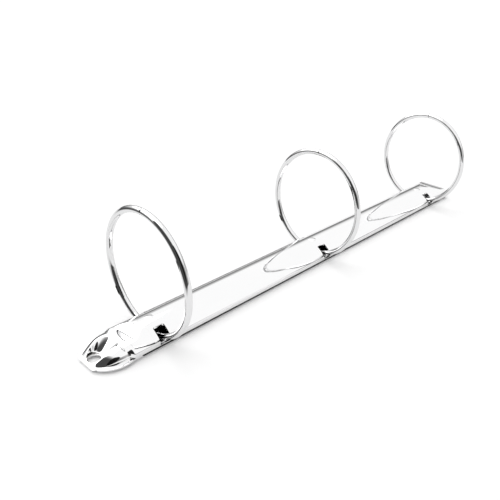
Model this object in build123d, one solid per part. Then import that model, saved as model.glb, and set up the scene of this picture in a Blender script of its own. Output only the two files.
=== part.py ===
from build123d import *
import math
import os

# Three-ring binder mechanism, rings closed, standing on its base.
# Millimetres. +X runs along the mechanism away from its dished end, +Z is up, and the
# origin is on the base plane under the middle ring. Left is +Y and right is -Y.

# Rings
ring_pitch = 108.0            # between neighbouring rings, the spacing of three-hole paper
ring_count = 3
wire_d = 3.0                  # round ring wire
ring_inner_half_width = 25.15
ring_inner_half_height = 26.1
ring_join_angle = 45.0        # where the crown arc of a ring runs into its side arc
tip_gap = 0.16                # seam between the closed tips
tip_chamfer = 0.3
nib_r = 0.6                   # nib on a left tip, which keys into the right one
nib_length = 0.9
nib_clearance = 0.25

# Cover plate, pressed from one strip of spring steel
sheet = 0.8
cover_half_width = 11.0
crown_height = 8.9
side_wall_height = 3.4        # upright part of each side, below the arch
shoulder_bend_r = 1.2         # between the arch and a side wall
lip_reach = 2.2               # in-turned lip, from the outer side face
lip_bend_r = 1.0
neck_half_width = 8.2         # the arch's near end is square to here, and slants back beyond
neck_length = 3.3

# Ends, each measured outward from the outermost ring on its side
press_from_ring = 6.0         # the crown starts to be pressed down, the same at both ends
neck_from_ring = 17.8         # the arch runs into the dished lobe
flange_from_ring = 20.0       # widest place of the lobe's flange
dish_from_ring = 22.6
wall_tip_from_ring = 30.4
flange_tip_from_ring = 31.7
cover_far_from_ring = 22.5
rivet_far_from_ring = 26.4
leaf_near_from_ring = 11.0
leaf_far_from_ring = 16.0

# Heights of the crown where it is pressed down
near_press_height = 7.0
far_press_height = 6.0

# Dished lobe at the near end. Its wall is round about the dish and cut square at the tip.
flange_half_width = 11.75
flange_tip_half_width = 4.6
wall_r = 9.6
wall_taper = 4.0
wall_corner_r = 1.5
rim_round = 1.4
dish_r = 6.7
dish_lip_r = 1.0
dish_floor_r = 3.6
rivet_hole_r = 2.5

# Low tongue at the far end, bent down from the crown
tongue_half_width = 5.3
tongue_bend_r = 0.6

# Notches that the rings pass through, and round pips on the crown
notch_width = 5.5
notch_inner_y = 5.75
notch_floor = 1.9
notch_corner_r = 0.8
pip_r = 1.9
pip_height = 0.35

# Hinge leaves, side by side under the cover
leaf_thickness = 1.0
closed_drop = 5.0             # degrees that a closed leaf falls towards the centre
edge_clearance = 0.2          # a leaf's rounded edge to the lip and to the side wall
centre_clearance = 0.12       # a leaf's inner edge to the centre plane, leaves level
foot_from_edge = 3.7          # a ring's foot from its leaf's hinge axis
tenon_r = 1.15                # reduced end of the wire, staked through the leaf
tenon_clearance = 0.03
stake_r = 1.6
stake_height = 0.3
fingers_per_pitch = 3         # between neighbouring rings, alternating from leaf to leaf
finger_length = 8.0
finger_reach = 1.6
finger_root = 1.8
finger_lift = 0.4
finger_thickness = 0.6

wire_r = wire_d / 2
leaf_half = leaf_thickness / 2
drop = math.radians(closed_drop)
hinge_y = cover_half_width - sheet - edge_clearance - leaf_half
hinge_z = sheet + edge_clearance + leaf_half
leaf_reach = hinge_y - centre_clearance
finger_pitch = ring_pitch / fingers_per_pitch
finger_count = fingers_per_pitch * (ring_count - 1)
outer_ring_x = ring_pitch * (ring_count - 1) / 2
press_start = outer_ring_x + press_from_ring
neck_x = -outer_ring_x - neck_from_ring
flange_x = -outer_ring_x - flange_from_ring
dish_x = -outer_ring_x - dish_from_ring
wall_tip_x = -outer_ring_x - wall_tip_from_ring
flange_tip_x = -outer_ring_x - flange_tip_from_ring
cover_far_x = outer_ring_x + cover_far_from_ring
rivet_far_x = outer_ring_x + rivet_far_from_ring
leaf_near_x = -outer_ring_x - leaf_near_from_ring
leaf_far_x = outer_ring_x + leaf_far_from_ring
arch_rise = crown_height - side_wall_height
arch_radius = (arch_rise**2 + cover_half_width**2) / (2 * arch_rise)
ring_xs = [i * ring_pitch - outer_ring_x for i in range(ring_count)]
ring_names = ["near", "middle", "far"]

# A half ring is three tangent arcs: crown, side and foot.
half_width = ring_inner_half_width + wire_r
half_height = ring_inner_half_height + wire_r
join = math.radians(ring_join_angle)
radius_step = (half_height - half_width) / (math.cos(join) + math.sin(join) - 1)
side_arc_r = half_width + radius_step * math.cos(join)
crown_arc_r = half_height - radius_step * math.sin(join)

# Its foot arc ends in a tight elbow that lands square on the closed leaf. The two arcs
# touch with their centres on opposite sides, which fixes how high the ring stands.
elbow_r = wire_r + 0.1
outward = (math.cos(drop), math.sin(drop))
upward = (-math.sin(drop), math.cos(drop))
foot_reach = elbow_r - foot_from_edge
elbow_y = hinge_y + foot_reach * outward[0] + leaf_half * upward[0]
elbow_z = hinge_z + foot_reach * outward[1] + leaf_half * upward[1]
foot_arc_z = elbow_z + math.sqrt((crown_arc_r + elbow_r) ** 2 - elbow_y**2)
ring_centre_z = foot_arc_z - crown_arc_r + half_height


def block(x, y, z):
    """Box between two limits on each axis."""
    corner = Pos(x[0], y[0], z[0])
    return corner * Box(x[1] - x[0], y[1] - y[0], z[1] - z[0], align=(Align.MIN,) * 3)


def arch_section(inset):
    """Cross-section inside the arch and its side walls, or inside their inner faces."""
    radius = arch_radius - inset
    side = cover_half_width - inset
    axis_z = crown_height - arch_radius
    spring_z = axis_z + math.sqrt(radius**2 - side**2)
    top = ThreePointArc((-side, spring_z), (0, axis_z + radius), (side, spring_z))
    walls = Polyline((side, spring_z), (side, inset), (-side, inset), (-side, spring_z))
    section = make_face(Curve() + [top, walls])
    shoulders = [v for v in section.vertices() if v.Y > spring_z - sheet / 2]
    section = fillet(shoulders, max(shoulder_bend_r - inset, sheet / 2))
    if inset == 0:
        section = fillet(section.vertices().group_by(Axis.Y)[0], lip_bend_r)
    return section


def pressed_step(start, end):
    """Two equal arcs from one level down to another."""
    middle = ((start[0] + end[0]) / 2, (start[1] + end[1]) / 2)
    first = TangentArc(start, middle, tangent=(end[0] - start[0], 0))
    return [first, TangentArc(middle, end, tangent=first % 1)]


def crown_profile(near_x, far_x):
    """Side view of all that lies under the crown, which is pressed down at both ends."""
    level = Line((-press_start, crown_height), (press_start, crown_height))
    near = pressed_step((-press_start, crown_height), (neck_x, near_press_height))
    far = pressed_step((press_start, crown_height), (cover_far_x, far_press_height))
    under = Polyline(
        (neck_x, near_press_height),
        (near_x, near_press_height),
        (near_x, -crown_height),
        (far_x, -crown_height),
        (far_x, far_press_height),
        (cover_far_x, far_press_height),
    )
    return make_face(Curve() + [level, *near, *far, under])


def beyond_neck(x):
    """Everything past the arch's near end, whose corners slant back on both sides."""
    ends = Polyline(
        (x, -neck_half_width),
        (x, neck_half_width),
        (x + neck_length, cover_half_width),
        (rivet_far_x, cover_half_width),
        (rivet_far_x, -cover_half_width),
        (x + neck_length, -cover_half_width),
        close=True,
    )
    return Pos(0, 0, -crown_height) * extrude(make_face(ends), 3 * crown_height)


def arch_form(inset, near_x, far_x):
    """Solid inside the arch from end to end, or inside its inner faces."""
    prism = Plane.YZ.offset(near_x) * extrude(arch_section(inset), far_x - near_x)
    under_crown = extrude(crown_profile(near_x - 1, far_x + 1), cover_half_width + 1, both=True)
    return prism & (Pos(0, 0, -inset) * (Plane.XZ * under_crown)) & beyond_neck(near_x)


def lobe_form(inset):
    """Solid inside the lobe's wall, or inside its inner faces."""
    side = wall_r - inset
    tip_x = wall_tip_x + inset
    tip_side = math.sqrt(side**2 - (tip_x - dish_x) ** 2)
    hidden_x = neck_x + neck_length
    round_left = TangentArc((dish_x, side), (tip_x, tip_side), tangent=(-1, 0))
    round_right = TangentArc((dish_x, -side), (tip_x, -tip_side), tangent=(-1, 0))
    tip = Line((tip_x, tip_side), (tip_x, -tip_side))
    rest = Polyline((dish_x, side), (hidden_x, side), (hidden_x, -side), (dish_x, -side))
    outline = make_face(Curve() + [round_left, tip, round_right, rest])
    outline = fillet(outline.vertices().group_by(Axis.X)[0], wall_corner_r)
    form = Pos(0, 0, -inset) * extrude(outline, near_press_height, taper=wall_taper)
    rim = form.faces().sort_by(Axis.Z)[-1].edges()
    form = fillet(rim.sort_by(Axis.X)[:-1], max(rim_round - inset, sheet / 2))
    return form - beyond_neck(neck_x + sheet / 4 - 2 * inset)


def flange():
    """Flange on the base round the foot of the lobe's wall."""
    side = flange_half_width
    tip_side = flange_tip_half_width
    far_x = neck_x + neck_length + lip_bend_r
    far_side = cover_half_width - lip_bend_r
    halves = []
    for hand in (1, -1):
        start = (flange_x, hand * side)
        halves.append(TangentArc(start, (flange_tip_x, hand * tip_side), tangent=(-1, 0)))
        halves.append(TangentArc(start, (far_x, hand * far_side), tangent=(1, 0)))
    ends = [Line((x, y), (x, -y)) for x, y in ((flange_tip_x, tip_side), (far_x, far_side))]
    return extrude(make_face(Curve() + halves + ends), sheet)


def dish_form(inset):
    """Solid inside the dish, or inside its outer faces."""
    floor_z = sheet - inset
    wall_r = dish_r - dish_lip_r + inset
    floor_r = dish_floor_r + inset
    lip_z = near_press_height - dish_lip_r
    bowl = ThreePointArc(
        (floor_r, floor_z),
        (floor_r + (wall_r - floor_r) * 0.72, floor_z + (lip_z - floor_z) * 0.42),
        (wall_r, lip_z),
    )
    lip = TangentArc((wall_r, lip_z), (dish_r + inset, near_press_height), tangent=(0, 1))
    rest = [
        (dish_r + inset, near_press_height),
        (dish_r + inset, crown_height),
        (0, crown_height),
        (0, floor_z - inset),
        (floor_r, floor_z - inset),
    ]
    if inset:
        rest.append((floor_r, floor_z))
    profile = Plane.XZ * make_face(Curve() + [bowl, lip, Polyline(*rest)])
    return Pos(dish_x, 0, 0) * revolve(profile, Axis.Z)


def notch(x):
    """Cut for one ring leg on the left side, open through the side wall."""
    cut = block(
        (x - notch_width / 2, x + notch_width / 2),
        (notch_inner_y, cover_half_width + sheet),
        (notch_floor, crown_height),
    )
    return fillet(cut.edges().filter_by(Axis.Z).group_by(Axis.Y)[0], notch_corner_r)


def pip(x, inset):
    """Round pip pressed up from the crown, or the hollow under it."""
    ball_r = (pip_r**2 + pip_height**2) / (2 * pip_height)
    ball = Pos(x, 0, crown_height + pip_height - ball_r) * Sphere(ball_r - inset)
    return ball & block((x - pip_r, x + pip_r), (-pip_r, pip_r), (crown_height - 2 * sheet, 2 * crown_height))


def tongue():
    """Web bent down from the far end of the crown, and the tongue that it turns out into."""
    under_crown = far_press_height - sheet / 2
    inner_x = cover_far_x - sheet
    tip_x = rivet_far_x + tongue_half_width
    side_view = Polyline(
        (inner_x, under_crown),
        (inner_x, 0),
        (tip_x, 0),
        (tip_x, sheet),
        (cover_far_x, sheet),
        (cover_far_x, under_crown),
        close=True,
    )
    corners = make_face(side_view).vertices().group_by(Axis.X)
    bent = fillet(corners[0].sort_by(Axis.Y)[:1], tongue_bend_r + sheet)
    inner_corner = bent.vertices().filter_by(lambda v: abs(v.X - cover_far_x) < 1e-6).sort_by(Axis.Y)[:1]
    bent = fillet(inner_corner, tongue_bend_r)
    strip = Plane.XZ * extrude(bent, tongue_half_width, both=True)
    plan = block((inner_x, rivet_far_x), (-tongue_half_width, tongue_half_width), (0, crown_height))
    return strip & (plan + Pos(rivet_far_x, 0, sheet / 2) * Cylinder(tongue_half_width, sheet))


def cover_plate():
    """The cover: arch with side walls and lips, dished lobe, far tongue, notches and pips."""
    outside = arch_form(0, neck_x, cover_far_x) + lobe_form(0) + flange()
    inside = arch_form(sheet, neck_x + 2 * sheet, cover_far_x + sheet) + lobe_form(sheet)
    passage_side = wall_r - 2 * sheet
    passage = block(
        (neck_x - 3 * sheet, neck_x + 3 * sheet),
        (-passage_side, passage_side),
        (-sheet, crown_height),
    )
    inside += passage & arch_form(sheet, neck_x - 3 * sheet, cover_far_x)
    mouth = cover_half_width - lip_reach
    inside += block((neck_x - 3 * sheet, cover_far_x + sheet), (-mouth, mouth), (-sheet, 2 * sheet))
    for x in ring_xs:
        outside += pip(x, 0)
        inside += pip(x, sheet)
    plate = (outside - dish_form(0)) - (inside - dish_form(sheet)) + tongue()
    for x in ring_xs:
        plate -= notch(x) + mirror(notch(x), about=Plane.XZ)
    for x in (dish_x, rivet_far_x):
        plate -= Pos(x, 0, 0) * Cylinder(rivet_hole_r, 4 * sheet)
    return plate


def leaf_plane():
    """Plane of the closed left leaf: origin on its hinge axis, +Y outward, +Z off its top."""
    return Plane(origin=(0, hinge_y, hinge_z), x_dir=(1, 0, 0), z_dir=(0, upward[0], upward[1]))


def hinge_leaf(side):
    """One leaf on the left: strip with a rounded hinge edge, ring holes and fingers."""
    section = Rectangle(leaf_reach, leaf_thickness, align=(Align.MAX, Align.CENTER)) + Circle(leaf_half)
    strip = Plane.YZ.offset(leaf_near_x) * extrude(section, leaf_far_x - leaf_near_x)
    for x in ring_xs:
        strip -= Pos(x, -foot_from_edge, 0) * Cylinder(tenon_r + tenon_clearance, 2 * leaf_thickness)
    for i in range(finger_count):
        if i % 2 == side:
            x = (i - (finger_count - 1) / 2) * finger_pitch
            strip += finger(x)
    return leaf_plane() * strip


def finger(x):
    """Joggled finger that reaches over the other leaf and keeps the two together."""
    ends = (x - finger_length / 2, x + finger_length / 2)
    top = leaf_half + finger_lift + finger_thickness
    root = block(ends, (-leaf_reach, finger_root - leaf_reach), (0, top))
    reach = block(ends, (-leaf_reach - finger_reach, -leaf_reach), (top - finger_thickness, top))
    top_edges = (root + reach).edges().filter_by(Axis.X).group_by(Axis.Z)[-1]
    return fillet(top_edges, finger_thickness / 2)


def ring_path():
    """Centre line of a left half ring in the YZ plane, from its tip to its foot."""
    start_turn = math.asin(tip_gap / 2 / crown_arc_r)
    crown_z = ring_centre_z + half_height - crown_arc_r
    start = (tip_gap / 2, crown_z + crown_arc_r * math.cos(start_turn))
    heading = (math.cos(start_turn), -math.sin(start_turn))
    crown_turn = math.pi / 2 - join - start_turn
    elbow_angle = math.atan2(foot_arc_z - elbow_z, elbow_y)
    crown = JernArc(start, heading, crown_arc_r, -math.degrees(crown_turn))
    side = JernArc(crown @ 1, crown % 1, side_arc_r, -2 * ring_join_angle)
    foot = JernArc(side @ 1, side % 1, crown_arc_r, ring_join_angle - math.degrees(elbow_angle))
    elbow_turn = math.degrees(elbow_angle) + closed_drop
    elbow = JernArc(foot @ 1, foot % 1, elbow_r, elbow_turn)
    return Plane.YZ * (Curve() + [crown, side, foot, elbow])


def half_ring(x):
    """Left half ring: bent wire with a chamfered tip and a tenon staked through its leaf."""
    path = ring_path()
    start = Plane(origin=path @ 0, z_dir=path % 0)
    ring = sweep(start * Circle(wire_r), path=path)
    tip = ring.faces().filter_by(GeomType.PLANE).sort_by(Axis.Z)[-1]
    ring = chamfer(tip.edges(), tip_chamfer)
    upward_from = (Align.CENTER, Align.CENTER, Align.MIN)
    tenon = Cylinder(tenon_r, leaf_thickness + wire_r / 2, align=upward_from)
    tenon += Pos(0, 0, -stake_height) * Cylinder(stake_r, stake_height, align=upward_from)
    ring += leaf_plane() * (Pos(0, -foot_from_edge, -leaf_half) * tenon)
    return Pos(x, 0, 0) * ring


def tip_key(x, radius, length):
    """Round key on the axis of the tips, from inside the left tip into the right one."""
    axis_z = ring_centre_z + half_height
    key = Plane.XZ.offset(-wire_r) * (Pos(x, axis_z) * Circle(radius))
    return extrude(key, wire_r + length)


os.makedirs("parts", exist_ok=True)
nodes = {"cover_plate": cover_plate()}
nodes["left_hinge_leaf"] = hinge_leaf(0)
nodes["right_hinge_leaf"] = mirror(hinge_leaf(1), about=Plane.XZ)
for x, name in zip(ring_xs, ring_names):
    half = half_ring(x)
    nodes[f"{name}_left_half_ring"] = half + tip_key(x, nib_r, nib_length)
    socket = tip_key(x, nib_r + nib_clearance, nib_length + nib_clearance)
    nodes[f"{name}_right_half_ring"] = mirror(half, about=Plane.XZ) - socket
for node, shape in nodes.items():
    export_step(shape, f"parts/{node}.step")
print(f"ring centre {ring_centre_z:.2f} mm above the base, side arc {side_arc_r:.2f}, crown arc {crown_arc_r:.2f}")
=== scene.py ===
import math

import bpy
import numpy as np
from mathutils import Matrix, Vector


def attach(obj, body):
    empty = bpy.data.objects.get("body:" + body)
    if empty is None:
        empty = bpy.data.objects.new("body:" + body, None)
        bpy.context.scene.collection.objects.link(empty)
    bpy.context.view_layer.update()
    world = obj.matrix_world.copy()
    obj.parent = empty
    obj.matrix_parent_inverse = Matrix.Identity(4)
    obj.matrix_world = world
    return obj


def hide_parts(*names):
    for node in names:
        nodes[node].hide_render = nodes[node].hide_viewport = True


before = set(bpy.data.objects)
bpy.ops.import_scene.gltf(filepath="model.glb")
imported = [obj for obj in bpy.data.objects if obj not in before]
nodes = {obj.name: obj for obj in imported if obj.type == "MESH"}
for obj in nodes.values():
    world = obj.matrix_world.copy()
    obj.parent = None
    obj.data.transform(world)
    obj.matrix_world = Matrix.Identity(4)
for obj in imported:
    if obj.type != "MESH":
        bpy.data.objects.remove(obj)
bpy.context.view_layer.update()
MM = 0.001

scene = bpy.context.scene
scene.view_settings.view_transform = "Standard"


def ranged(tree, source, low, high, smooth=False):
    """Map a socket's value linearly, or smoothly, from one range (low) to another (high)."""
    node = tree.nodes.new("ShaderNodeMapRange")
    node.interpolation_type = "SMOOTHSTEP" if smooth else "LINEAR"
    node.inputs["From Min"].default_value = low[0]
    node.inputs["From Max"].default_value = low[1]
    node.inputs["To Min"].default_value = high[0]
    node.inputs["To Max"].default_value = high[1]
    tree.links.new(source, node.inputs["Value"])
    return node.outputs["Result"]


def mixed(tree, kind, factor, a, b):
    """Mix of a and b by a factor, where a and b are sockets or plain values."""
    node = tree.nodes.new("ShaderNodeMix")
    node.data_type = kind
    tree.links.new(factor, node.inputs["Factor"])
    for name, value in (("A", a), ("B", b)):
        if isinstance(value, bpy.types.NodeSocket):
            tree.links.new(value, node.inputs[name])
        else:
            node.inputs[name].default_value = value
    return node.outputs["Result"]


def noise(tree, vector, scale, detail):
    """Noise over the object's own coordinates."""
    node = tree.nodes.new("ShaderNodeTexNoise")
    node.inputs["Scale"].default_value = scale
    node.inputs["Detail"].default_value = detail
    tree.links.new(vector, node.inputs["Vector"])
    return node.outputs["Fac"]


def worn_edges(tree, width):
    """Wear, 0 on a flat and 1 on an edge, from the turn between the rounded and true normals."""
    surface = tree.nodes.new("ShaderNodeNewGeometry")
    rounded = tree.nodes.new("ShaderNodeBevel")
    rounded.samples = 6
    rounded.inputs["Radius"].default_value = width * MM
    facing = tree.nodes.new("ShaderNodeVectorMath")
    facing.operation = "DOT_PRODUCT"
    tree.links.new(surface.outputs["Normal"], facing.inputs[0])
    tree.links.new(rounded.outputs["Normal"], facing.inputs[1])
    return ranged(tree, facing.outputs["Value"], (0.98, 0.8), (0, 1))


# Metals: bright nickel plate. Colour and roughness drift a little over the surface, fine
# handling marks lie in the gloss, and edges are worn paler and duller.
def nickel(name, colour, shade, roughness, marks, edge):
    """Nickel plate between two colours, with marks and an edge width in mm."""
    material = bpy.data.materials.new(name)
    material.use_nodes = True
    tree = material.node_tree
    shader = tree.nodes["Principled BSDF"]
    shader.inputs["Metallic"].default_value = 1.0
    place = tree.nodes.new("ShaderNodeTexCoord").outputs["Object"]
    cloud = noise(tree, place, 60, 4)
    grain = noise(tree, place, 1000 / marks, 6)
    wear = worn_edges(tree, edge)
    tint = mixed(tree, "RGBA", cloud, (*shade, 1), (*colour, 1))
    tree.links.new(mixed(tree, "RGBA", wear, tint, bare_steel), shader.inputs["Base Color"])
    gloss = ranged(tree, grain, (0.35, 0.7), (roughness * 0.7, roughness * 1.5))
    duller = tree.nodes.new("ShaderNodeMath")
    duller.operation = "MULTIPLY_ADD"
    duller.inputs[1].default_value = edge_roughness
    tree.links.new(wear, duller.inputs[0])
    tree.links.new(gloss, duller.inputs[2])
    tree.links.new(duller.outputs["Value"], shader.inputs["Roughness"])
    ripple = tree.nodes.new("ShaderNodeBump")
    ripple.inputs["Strength"].default_value = 0.12
    ripple.inputs["Distance"].default_value = 0.01 * MM
    tree.links.new(grain, ripple.inputs["Height"])
    tree.links.new(ripple.outputs["Normal"], shader.inputs["Normal"])
    return material


bare_steel = (0.93, 0.92, 0.9, 1)
edge_roughness = 0.1
cover_metal = nickel("cover_nickel", (0.985, 0.985, 0.985), (0.95, 0.95, 0.955), 0.05, 4, 0.3)
leaf_metal = nickel("leaf_nickel", (0.82, 0.82, 0.83), (0.74, 0.74, 0.75), 0.16, 2, 0.3)
ring_metal = nickel("ring_nickel", (0.9, 0.9, 0.905), (0.85, 0.85, 0.855), 0.05, 3, 0.2)


def dress(obj, material):
    """Give a piece one material."""
    obj.data.materials.clear()
    obj.data.materials.append(material)


# Half rings: steel wire, nickel plated, bent to a round ring and cut where the two tips meet.
# Hinge leaves: spring steel strips under the cover. Both keep their CAD shapes.
for name, obj in nodes.items():
    if name.endswith("leaf"):
        dress(obj, leaf_metal)
    elif name.endswith("half_ring"):
        dress(obj, ring_metal)

# Cover plate: spring steel strip, nickel plated, arched with upright sides and in-turned lips.
# Its near end is a nose with a scoop pressed through it down to a flat pad for the rivet.
# The rest is the CAD shape, cut across ahead of the near ring, where the two meet.
sheet = 0.8
half_width = 11.0
crown = 8.9
side_wall = 3.4
arch_radius = ((crown - side_wall) ** 2 + half_width**2) / (2 * (crown - side_wall))
lip_bend = 1.0
lip_end = 8.8
shoulder_bend = 1.2
joint_x = -113.0
press_start = -114.0
press_end = -121.5
nose_height = 7.0
neck_start = -122.5
neck_end = -126.0
ramp_soft = 0.5
ramp_soft_run = 4.0
pad_height = 1.8
pad_sunk = 0.15
pad_middle = -135.4
pad_radius = 3.7
rivet_hole = 2.9
scoop_middle = -130.6
scoop_radius = 6.2
scoop_least_run = 1.9
scoop_fillet = 0.8
rim_fillet = 0.35
nose_half_width = 9.9
nose_tip = -138.4
nose_tip_half = 5.2
nose_squareness = 2.4
nose_tip_squareness = 1.7
scoop_power = 0.85
nose_foot = 1.5
hole_margin = 0.6
flange_widest = -128.0
flange_half_width = 11.7
flange_tip = -139.65
flange_tip_half = 4.6
flange_dip = 0.9
flange_dip_power = 1.3
flange_start = -122.2
flange_neck_in = 1.0
sharp_above = math.radians(35)
nose_samples = 1201
least_area = 1e-7
merge_digits = 5


def arc_down(run, start, end, high, low):
    """Arc that leaves its start level and falls from high to low at the end."""
    radius = ((end - start) ** 2 + (high - low) ** 2) / (2 * (high - low))
    return high - radius + np.sqrt(radius**2 - np.clip(start - run, 0, start - end) ** 2)


def lower_of(a, b, soft):
    """Smooth minimum: half of (sum less the root of (difference squared plus soft squared))."""
    return 0.5 * (a + b - np.sqrt((a - b) ** 2 + soft**2))


def arch_half():
    """Right half of the section: lip, bend, upright wall, shoulder bend, arch to the crown."""
    axis = crown - arch_radius
    middle = half_width - shoulder_bend
    rise = np.sqrt((arch_radius - shoulder_bend) ** 2 - middle**2)
    lean = np.arctan2(rise, middle)
    lip = np.stack([np.linspace(lip_end, half_width - lip_bend, 4), np.zeros(4)], axis=1)
    turn = np.linspace(-np.pi / 2, 0, 9)[1:]
    heel = lip_bend * np.stack([np.cos(turn), np.sin(turn)], axis=1)
    heel += (half_width - lip_bend, lip_bend)
    upright = np.linspace(lip_bend, axis + rise, 10)[1:]
    wall = np.stack([np.full(9, half_width), upright], axis=1)
    turn = np.linspace(0, lean, 10)[1:]
    shoulder = shoulder_bend * np.stack([np.cos(turn), np.sin(turn)], axis=1)
    shoulder += (middle, axis + rise)
    turn = np.linspace(lean, np.pi / 2, 61)[1:]
    top = arch_radius * np.stack([np.cos(turn), np.sin(turn)], axis=1) + (0, axis)
    return np.concatenate([lip, heel, wall, shoulder, top])


right_half = arch_half()
section = np.concatenate([right_half * (-1, 1), right_half[-2::-1]])
steps = np.linalg.norm(np.diff(section, axis=0), axis=1)
share = np.concatenate([[0], np.cumsum(steps)]) / steps.sum()


def arch_rows(stations):
    """Arch sections, held under a crown line of two equal arcs from the crown to the nose."""
    middle = (press_start + press_end) / 2
    half = (crown + nose_height) / 2
    first = arc_down(stations, press_start, middle, crown, half)
    mirrored = press_start + press_end - np.maximum(stations, press_end)
    last = crown + nose_height - arc_down(mirrored, press_start, middle, crown, half)
    level = np.where(stations > middle, first, last)[:, None]
    shape = (len(stations), len(section))
    y = np.broadcast_to(section[:, 0], shape)
    z = np.broadcast_to(section[:, 1], shape)
    soft = ramp_soft * np.clip((press_start - stations) / ramp_soft_run, 0, 1)[:, None]
    z = np.where(z > side_wall, lower_of(z, level, soft), z)
    x = np.broadcast_to(stations[:, None], shape)
    return np.stack([x, y, z], axis=2)


def scoop_floor(x, y):
    """Height of the scoop: the pad, then a power of the way from pad edge to mouth.

    The mouth is a circle set further back, so the wall is steep at the sides and gentle behind.
    """
    run = np.hypot(x - pad_middle, y)
    turn = np.arctan2(y, x - pad_middle)
    offset = scoop_middle - pad_middle
    reach = np.sqrt(scoop_radius**2 - (offset * np.sin(turn)) ** 2)
    mouth = np.maximum(offset * np.cos(turn) + reach, pad_radius + scoop_least_run)
    climb = (run - pad_radius) / (mouth - pad_radius)
    soft = scoop_fillet / (mouth - pad_radius)
    eased = 0.5 * (climb + np.sqrt(climb**2 + soft**2))
    return pad_height - pad_sunk + (nose_height - pad_height) * eased**scoop_power


def nose_rows(stations):
    """Nose sections, evenly sampled: the lower of the scoop and a superellipse.

    Across is |cos t| and up is |sin t|, both to the power of two over the squareness.
    """
    turn = np.linspace(0, np.pi, nose_samples)
    base = nose_foot
    rows = []
    for x in stations:
        back = max(x - neck_end, 0) / (neck_start - neck_end)
        side = arc_down(np.array(x), neck_end, nose_tip, nose_half_width, nose_tip_half)
        side = side + (half_width - nose_half_width) * back**2
        ridge = arc_down(np.array(x), neck_end, nose_tip, nose_height, pad_height)
        ahead = min(max((scoop_middle - x) / (scoop_middle - nose_tip), 0), 1)
        blunt = 2 / (nose_squareness + (nose_tip_squareness - nose_squareness) * ahead)
        across = -np.sign(np.cos(turn)) * np.abs(np.cos(turn)) ** blunt * side
        up = base + (ridge - base) * np.abs(np.sin(turn)) ** blunt
        up = lower_of(up, scoop_floor(np.full(nose_samples, x), across), rim_fillet)
        length = np.concatenate([[0], np.cumsum(np.hypot(np.diff(across), np.diff(up)))])
        even = share * length[-1]
        y = np.interp(even, length, across)
        rows.append(np.stack([np.full(len(share), x), y, np.interp(even, length, up)], axis=1))
    return np.array(rows)


def sheet_metal(grid, kept):
    """Closed sheet from the kept cells of a grid: outer face, inner face and rims.

    The inner face is the grid less its unit normals times the sheet's thickness.
    """
    normal = np.cross(np.gradient(grid, axis=1), np.gradient(grid, axis=0))
    normal /= np.maximum(np.linalg.norm(normal, axis=2, keepdims=True), 1e-12)
    rows, columns = grid.shape[:2]
    index = np.arange(rows * columns).reshape(rows, columns)
    top = np.stack([index[:-1, :-1], index[:-1, 1:], index[1:, 1:], index[1:, :-1]], axis=2)[kept]
    under = top[:, ::-1] + rows * columns
    points = np.concatenate([grid.reshape(-1, 3), (grid - normal * sheet).reshape(-1, 3)])
    edges = np.concatenate([top[:, [i, (i + 1) % 4]] for i in range(4)])
    _, which, count = np.unique(
        np.sort(edges, axis=1), axis=0, return_inverse=True, return_counts=True
    )
    rim = edges[count[which.ravel()] == 1]
    low = rim + rows * columns
    rim_faces = np.stack([rim[:, 1], rim[:, 0], low[:, 0], low[:, 1]], axis=1)
    return points, np.concatenate([top, under, rim_faces])


def far_part(obj, limit):
    """Triangles of a CAD mesh beyond a plane across X, those that cross it clipped on it.

    Each corner holds its place in mm and its normal, both mixed linearly on a clipped edge.
    """
    mesh = obj.data
    mesh.calc_loop_triangles()
    corners = np.zeros(len(mesh.loop_triangles) * 3, int)
    mesh.loop_triangles.foreach_get("loops", corners)
    vertex_of = np.zeros(len(mesh.loops), int)
    mesh.loops.foreach_get("vertex_index", vertex_of)
    places = np.zeros(len(mesh.vertices) * 3)
    mesh.vertices.foreach_get("co", places)
    normals = np.zeros(len(mesh.loops) * 3)
    mesh.corner_normals.foreach_get("vector", normals)
    here = places.reshape(-1, 3)[vertex_of[corners]] / MM
    both = np.concatenate([here, normals.reshape(-1, 3)[corners]], axis=1).reshape(-1, 3, 6)
    inside = both[:, :, 0] >= limit
    count = inside.sum(axis=1)
    parts = [both[count == 3]]
    for number in (1, 2):
        some = both[count == number]
        lone = np.argmax(inside[count == number] == (number == 1), axis=1)
        order = (lone[:, None] + np.arange(3)) % 3
        a, b, c = np.moveaxis(np.take_along_axis(some, order[:, :, None], axis=1), 1, 0)
        ab = a + (b - a) * ((limit - a[:, 0]) / (b[:, 0] - a[:, 0]))[:, None]
        ac = a + (c - a) * ((limit - a[:, 0]) / (c[:, 0] - a[:, 0]))[:, None]
        if number == 1:
            parts.append(np.stack([a, ab, ac], axis=1))
        else:
            parts += [np.stack([ab, b, c], axis=1), np.stack([ab, c, ac], axis=1)]
    return np.concatenate(parts)


def plain_mesh(name, points, faces):
    """Mesh object from points in mm and faces."""
    mesh = bpy.data.meshes.new(name)
    mesh.from_pydata((points * MM).tolist(), [], faces.tolist())
    obj = bpy.data.objects.new(name, mesh)
    scene.collection.objects.link(obj)
    return obj


def smooth(obj):
    """Shade a piece smooth."""
    obj.data.polygons.foreach_set("use_smooth", np.ones(len(obj.data.polygons), bool))


def far_cover():
    """CAD cover past the joint, its points merged and its own normals kept."""
    beyond = far_part(nodes["cover_plate"], joint_x)
    sides = beyond[:, 1:, :3] - beyond[:, :1, :3]
    area = np.linalg.norm(np.cross(sides[:, 0], sides[:, 1]), axis=1)
    beyond = beyond[area > least_area]
    corners = np.round(beyond[:, :, :3].reshape(-1, 3), merge_digits)
    spots, which = np.unique(corners, axis=0, return_inverse=True)
    faces = which.ravel().reshape(-1, 3)
    sound = np.all(faces != np.roll(faces, 1, axis=1), axis=1)
    obj = plain_mesh("cover_arch", spots, faces[sound])
    smooth(obj)
    obj.data.normals_split_custom_set(beyond[sound][:, :, 3:].reshape(-1, 3).tolist())
    return obj


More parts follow.
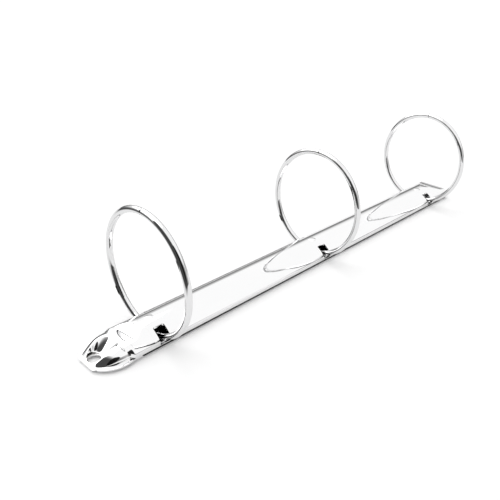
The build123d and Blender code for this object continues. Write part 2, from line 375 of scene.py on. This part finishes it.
def arch_sheet():
    """Arch from the joint to the neck, with its ramp down to the nose."""
    rows = arch_rows(np.linspace(joint_x, neck_start, 60))
    return sheet_metal(rows, np.ones((59, len(section) - 1), bool))


def nose_sheet():
    """Nose with its scoop, blended into the arch over the neck and open under the hole."""
    stations = np.linspace(neck_start, nose_tip, 120)
    blend = np.clip((stations - neck_end) / (neck_start - neck_end), 0, 1)
    blend = (blend**2 * (3 - 2 * blend))[:, None, None]
    grid = nose_rows(stations) * (1 - blend) + arch_rows(stations) * blend
    centres = (grid[:-1, :-1] + grid[1:, 1:]) / 2
    off_hole = np.hypot(centres[:, :, 0] - pad_middle, centres[:, :, 1])
    return sheet_metal(grid, off_hole > rivet_hole + hole_margin)


def flange_reach(turn):
    """Way from the hole's centre to the flange's edge, by the angle round the hole."""
    x = np.linspace(flange_start, flange_tip, 200)
    ahead = np.clip((x - flange_widest) / (flange_start - flange_widest), 0, 1)
    y = arc_down(x, flange_widest, flange_tip, flange_half_width, flange_tip_half)
    y = y - flange_neck_in * ahead**2
    tip_y = np.linspace(flange_tip_half, -flange_tip_half, 40)[1:-1]
    edge_x = np.concatenate([x, np.full(38, flange_tip), x[::-1]])
    edge_y = np.concatenate([y, tip_y, -y[::-1]])
    edge_turn = np.mod(np.arctan2(edge_y, edge_x - pad_middle), 2 * np.pi)
    away = np.hypot(edge_x - pad_middle, edge_y)
    return np.interp(turn, edge_turn, away, left=away[0], right=away[0])


def flange_sheet():
    """Flat flange from the rivet hole out to its edge, bent down a little at the tip."""
    turn = np.linspace(0, 2 * np.pi, 361)
    spread = np.linspace(0, 1, 40)[:, None]
    run = rivet_hole + (flange_reach(turn) - rivet_hole) * spread
    x = pad_middle + run * np.cos(turn)
    past = np.clip((nose_tip - x) / (nose_tip - flange_tip), 0, 1)
    z = pad_height - flange_dip * past**flange_dip_power
    grid = np.stack([x, run * np.sin(turn), z], axis=2)[::-1]
    return sheet_metal(grid, np.ones((39, 360), bool))


def near_cover():
    """Arch end, nose and flange as one piece."""
    points = []
    faces = []
    first = 0
    for sheet_points, sheet_faces in (arch_sheet(), nose_sheet(), flange_sheet()):
        points.append(sheet_points)
        faces.append(sheet_faces + first)
        first += len(sheet_points)
    obj = plain_mesh("cover_nose", np.concatenate(points), np.concatenate(faces))
    smooth(obj)
    obj.data.set_sharp_from_angle(angle=sharp_above)
    return obj


for piece in (far_cover(), near_cover()):
    dress(piece, cover_metal)
    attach(piece, "housing")
    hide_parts("cover_plate")

def matt(name, colour):
    """Matt paint with no sheen."""
    material = bpy.data.materials.new(name)
    material.use_nodes = True
    shader = material.node_tree.nodes["Principled BSDF"]
    shader.inputs["Base Color"].default_value = (*colour, 1)
    shader.inputs["Roughness"].default_value = 1.0
    shader.inputs["Specular IOR Level"].default_value = 0.0
    return material


def along_axis(tree, axis):
    """One of the object's own coordinates."""
    place = tree.nodes.new("ShaderNodeTexCoord")
    split = tree.nodes.new("ShaderNodeSeparateXYZ")
    tree.links.new(place.outputs["Object"], split.inputs["Vector"])
    return split.outputs[axis]


# Table: a white sheet that keeps the object's shadow. From the metal it looks a little grey, and
# dark past the near end, where the real surroundings were unlit: both are painted shade in its
# colour.
table_size = 6
table_dark_x = -0.215
table_bright_x = -0.165
bpy.ops.mesh.primitive_plane_add(size=table_size, location=(0, 0, 0))
table = bpy.context.object
table.name = "table"
table_paint = matt("table_white", (1, 1, 1))
tree = table_paint.node_tree
table_shader = tree.nodes["Principled BSDF"]
# Painted shade: a little grey, and dark past the near end, in the colour that all but the camera
# see.
painted_shade_in_metal = ranged(tree, along_axis(tree, "X"), (table_dark_x, table_bright_x), (0.08, 0.85))
seen_direct = tree.nodes.new("ShaderNodeLightPath").outputs["Is Camera Ray"]
table_tone = mixed(tree, "RGBA", seen_direct, painted_shade_in_metal, (1, 1, 1, 1))
tree.links.new(table_tone, table_shader.inputs["Base Color"])
dress(table, table_paint)


# Room wall: the unlit side of the room, past the table's front edge, as a glowing sheet, a
# painted reflection. Only the metal sees it.
def standing_wall(name, path, height):
    """Upright wall over a plan path in mm: x, y from the path and z from 0 to the height."""
    along = np.asarray(path, float)
    rows = np.linspace(0, height, 2)
    grid = np.array([[(x, y, z) for z in rows] for x, y in along]).reshape(-1, 3)
    first = np.arange(len(along) - 1) * 2
    return plain_mesh(name, grid, np.stack([first, first + 2, first + 3, first + 1], axis=1))


def only_in_metal(obj):
    """Let an object of the stage show in reflections and nowhere else."""
    obj.visible_camera = False
    obj.visible_diffuse = False
    obj.visible_transmission = False
    obj.visible_volume_scatter = False
    obj.visible_shadow = False


wall_path = [
    (-420, 105), (-300, 85), (-240, 70), (-222, 40), (-216, 0), (-216, -100), (-222, -190),
    (-190, -300), (-100, -400), (30, -450), (200, -470), (400, -470),
]
wall_height = 320
wall = standing_wall("room_side", wall_path, wall_height)
wall_paint = bpy.data.materials.new("room_side")
wall_paint.use_nodes = True
tree = wall_paint.node_tree
tree.nodes.remove(tree.nodes["Principled BSDF"])
# Painted reflection: the glow is dark low down and at the near end, and brighter higher up and
# further along.
lit_height = ranged(tree, along_axis(tree, "Z"), (0.16, 0.3), (0, 1), smooth=True)
lit_side = ranged(tree, along_axis(tree, "X"), (-0.2, 0.3), (0.06, 0.9))
glow = tree.nodes.new("ShaderNodeEmission")
tree.links.new(mixed(tree, "FLOAT", lit_height, lit_side, 1.0), glow.inputs["Strength"])
tree.links.new(glow.outputs["Emission"], tree.nodes["Material Output"].inputs["Surface"])
dress(wall, wall_paint)
only_in_metal(wall)

# Dark gear and painted shadow: a ball round the camera, a low strip at the left of the object,
# and a line at its right foot that is painted contact shadow. Only the metal sees them, as black
# stripes on the wires and the plate's bends.
ball_place = (-212, -190, 128)
ball_radius = 100
strip_path = [(-205, 36), (-120, 36), (-40, 38), (30, 40)]
strip_height = 5
foot_near = -119
foot_far = 131
foot_inner = -11.05
foot_outer = -12.6
foot_lift = 0.05
bpy.ops.mesh.primitive_uv_sphere_add(
    segments=64, ring_count=32, radius=ball_radius * MM, location=[c * MM for c in ball_place]
)
ball = bpy.context.object
ball.name = "camera_gear"
strip = standing_wall("low_strip", strip_path, strip_height)
# Painted shadow: a black sheet on the table along the right foot, standing in for the contact
# shadow there.
foot_corners = np.array([
    (foot_near, foot_inner, foot_lift), (foot_far, foot_inner, foot_lift),
    (foot_far, foot_outer, foot_lift), (foot_near, foot_outer, foot_lift),
])
painted_foot_shadow = plain_mesh("painted_foot_shadow", foot_corners, np.array([(0, 3, 2, 1)]))
dark_paint = matt("dark_gear_and_painted_shadow", (0.012, 0.012, 0.012))
for piece in (ball, strip, painted_foot_shadow):
    dress(piece, dark_paint)
    only_in_metal(piece)

# World: white above, greyer towards the horizon in the metal. It is dimmer where it lights, so
# that the lamp's shadow shows on the table.
world = bpy.data.worlds.new("white_studio")
scene.world = world
world.use_nodes = True
tree = world.node_tree
background = tree.nodes["Background"]
background.inputs["Color"].default_value = (1, 1, 1, 1)
ray = tree.nodes.new("ShaderNodeLightPath")
heading = tree.nodes.new("ShaderNodeTexCoord")
height = tree.nodes.new("ShaderNodeSeparateXYZ")
tree.links.new(heading.outputs["Generated"], height.inputs["Vector"])
horizon = ranged(tree, height.outputs["Z"], (0.0, 0.45), (0.1, 1.0), smooth=True)
sky_level = mixed(tree, "FLOAT", ray.outputs["Is Diffuse Ray"], horizon, 0.72)
sky_seen = mixed(tree, "FLOAT", ray.outputs["Is Camera Ray"], sky_level, 1.0)
tree.links.new(sky_seen, background.inputs["Strength"])

# Lamp: a wide soft one, high at the back left, that lays the shadow along the right side.
lamp_from = (-0.1, 0.55, 0.85)
lamp_data = bpy.data.lights.new("soft_lamp", "SUN")
lamp_data.energy = 1.3
lamp_data.angle = math.radians(70)
lamp = bpy.data.objects.new("soft_lamp", lamp_data)
scene.collection.objects.link(lamp)
lamp.rotation_euler = Vector(lamp_from).to_track_quat("Z", "Y").to_euler()

# Camera, where the photograph was taken from.
camera_data = bpy.data.cameras.new("camera")
camera = bpy.data.objects.new("camera", camera_data)
scene.collection.objects.link(camera)
right = Vector((0.7056, -0.7080, 0.0286)).normalized()
back = Vector((-0.6337, -0.6125, 0.4725)).normalized()
up = back.cross(right).normalized()
right = up.cross(back)
turn = Matrix((right, up, back)).transposed().to_4x4()
camera.matrix_world = Matrix.Translation(Vector((-223.5, -169.5, 150.3)) * MM) @ turn
camera_data.sensor_width = 36.0
camera_data.lens = 41.55
camera_data.clip_start = 0.01
bpy.context.scene.camera = camera
